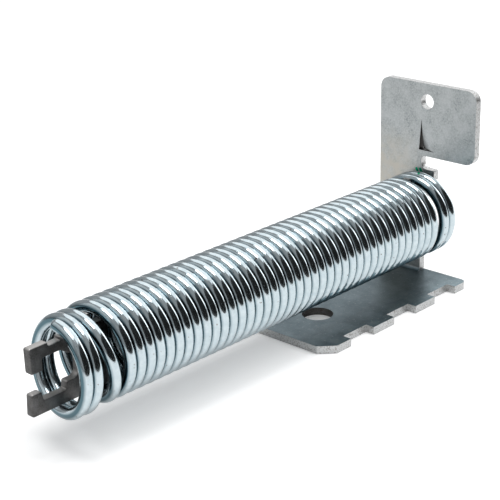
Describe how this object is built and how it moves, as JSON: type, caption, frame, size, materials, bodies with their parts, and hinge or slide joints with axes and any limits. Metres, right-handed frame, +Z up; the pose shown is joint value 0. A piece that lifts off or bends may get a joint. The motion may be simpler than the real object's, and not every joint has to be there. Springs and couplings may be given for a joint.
{
  "type": "dishwasher door spring",
  "caption": "Close-wound extension spring with a stamped hook plate threaded into one end and a folded sheet bracket threaded into the other",
  "frame": {"origin": "On the underside of the bracket's base, below the spring's axis, halfway along the base", "axes": "+X along the spring from the hook plate to the upright, +Z up"},
  "size_m": [0.1381, 0.0304, 0.0543],
  "materials": {
    "spring_wire": "polished",
    "hook_steel": "satin",
    "galvanised_sheet": "satin"
  },
  "bodies": {
    "root": {"spring": "spring_wire", "hook_plate": "hook_steel", "bracket": "galvanised_sheet"}
  },
  "joints": []
}
